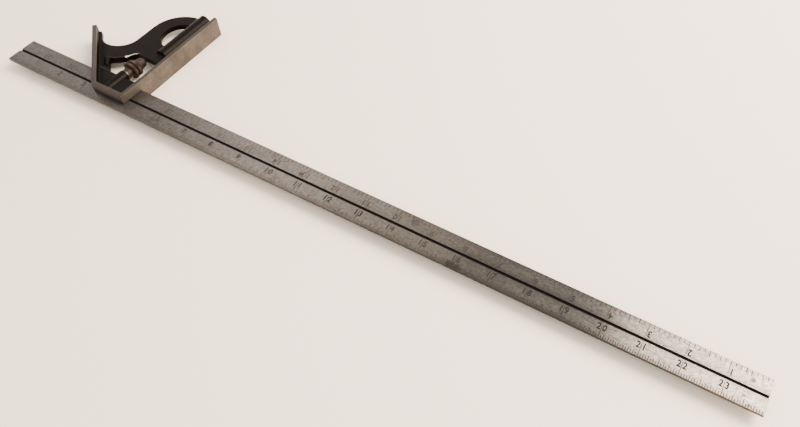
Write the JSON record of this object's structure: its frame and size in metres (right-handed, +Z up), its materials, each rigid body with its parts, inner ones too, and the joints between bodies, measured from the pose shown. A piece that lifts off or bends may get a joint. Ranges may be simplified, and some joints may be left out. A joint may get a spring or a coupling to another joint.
{
  "type": "combination square",
  "caption": "Combination square: grooved steel rule in a cast head with 90 and 45 degree faces, a knurled lock nut and a small spirit level.",
  "frame": {"origin": "middle of the whole object's box, in the plane of the head's lower edges that it lies on", "axes": "+X along the rule, away from the end that carries the head; +Y from the rule towards the head's far end; +Z up through the head's thickness, out of the rule's grooved side"},
  "size_m": [0.6096, 0.1178, 0.017],
  "materials": {
    "rule_steel": "satin rolled steel with an aged grey patina, engraved marks",
    "head_iron": "black japanned casting with ground bare faces",
    "bolt_steel": "turned steel",
    "nut_steel": "knurled steel browned by rust",
    "washer_steel": "turned steel",
    "spring_steel": "drawn spring wire",
    "sleeve_brass": "dull brass tube",
    "vial_glass": "clear glass",
    "vial_spirit": "pale yellow-green spirit",
    "vial_plaster": "set plaster",
    "plug_brass": "tarnished brass"
  },
  "bodies": {
    "rule": {"rule_blade": "rule_steel"},
    "head": {"square_head": "head_iron", "thrust_washer": "washer_steel", "level_sleeve": "sleeve_brass", "vial_glass": "vial_glass", "vial_spirit": "vial_spirit", "plaster_near": "vial_plaster", "plaster_far": "vial_plaster", "level_end_plug": "plug_brass"},
    "bolt": {"lock_bolt": "bolt_steel", "lock_spring": "spring_steel"},
    "nut": {"lock_nut": "nut_steel"}
  },
  "joints": [
    {"name": "head_slide", "type": "slide", "parent": "rule", "child": "head", "axis": [1, 0, 0], "range_m": [-0.0874, 0.4919]},
    {"name": "nut_turn", "type": "hinge", "parent": "head", "child": "nut", "pos_m": [-0.211, -0.01645, 0.0085], "axis": [0, 1, 0], "range_deg": [0, 180]},
    {"name": "bolt_drop", "type": "slide", "parent": "head", "child": "bolt", "axis": [0, -1, 0], "range_m": [0, 0.000396]}
  ],
  "couplings": [
    {"joint": "nut_turn", "follows": "bolt_drop", "rad_per_m": 7913.3}
  ]
}
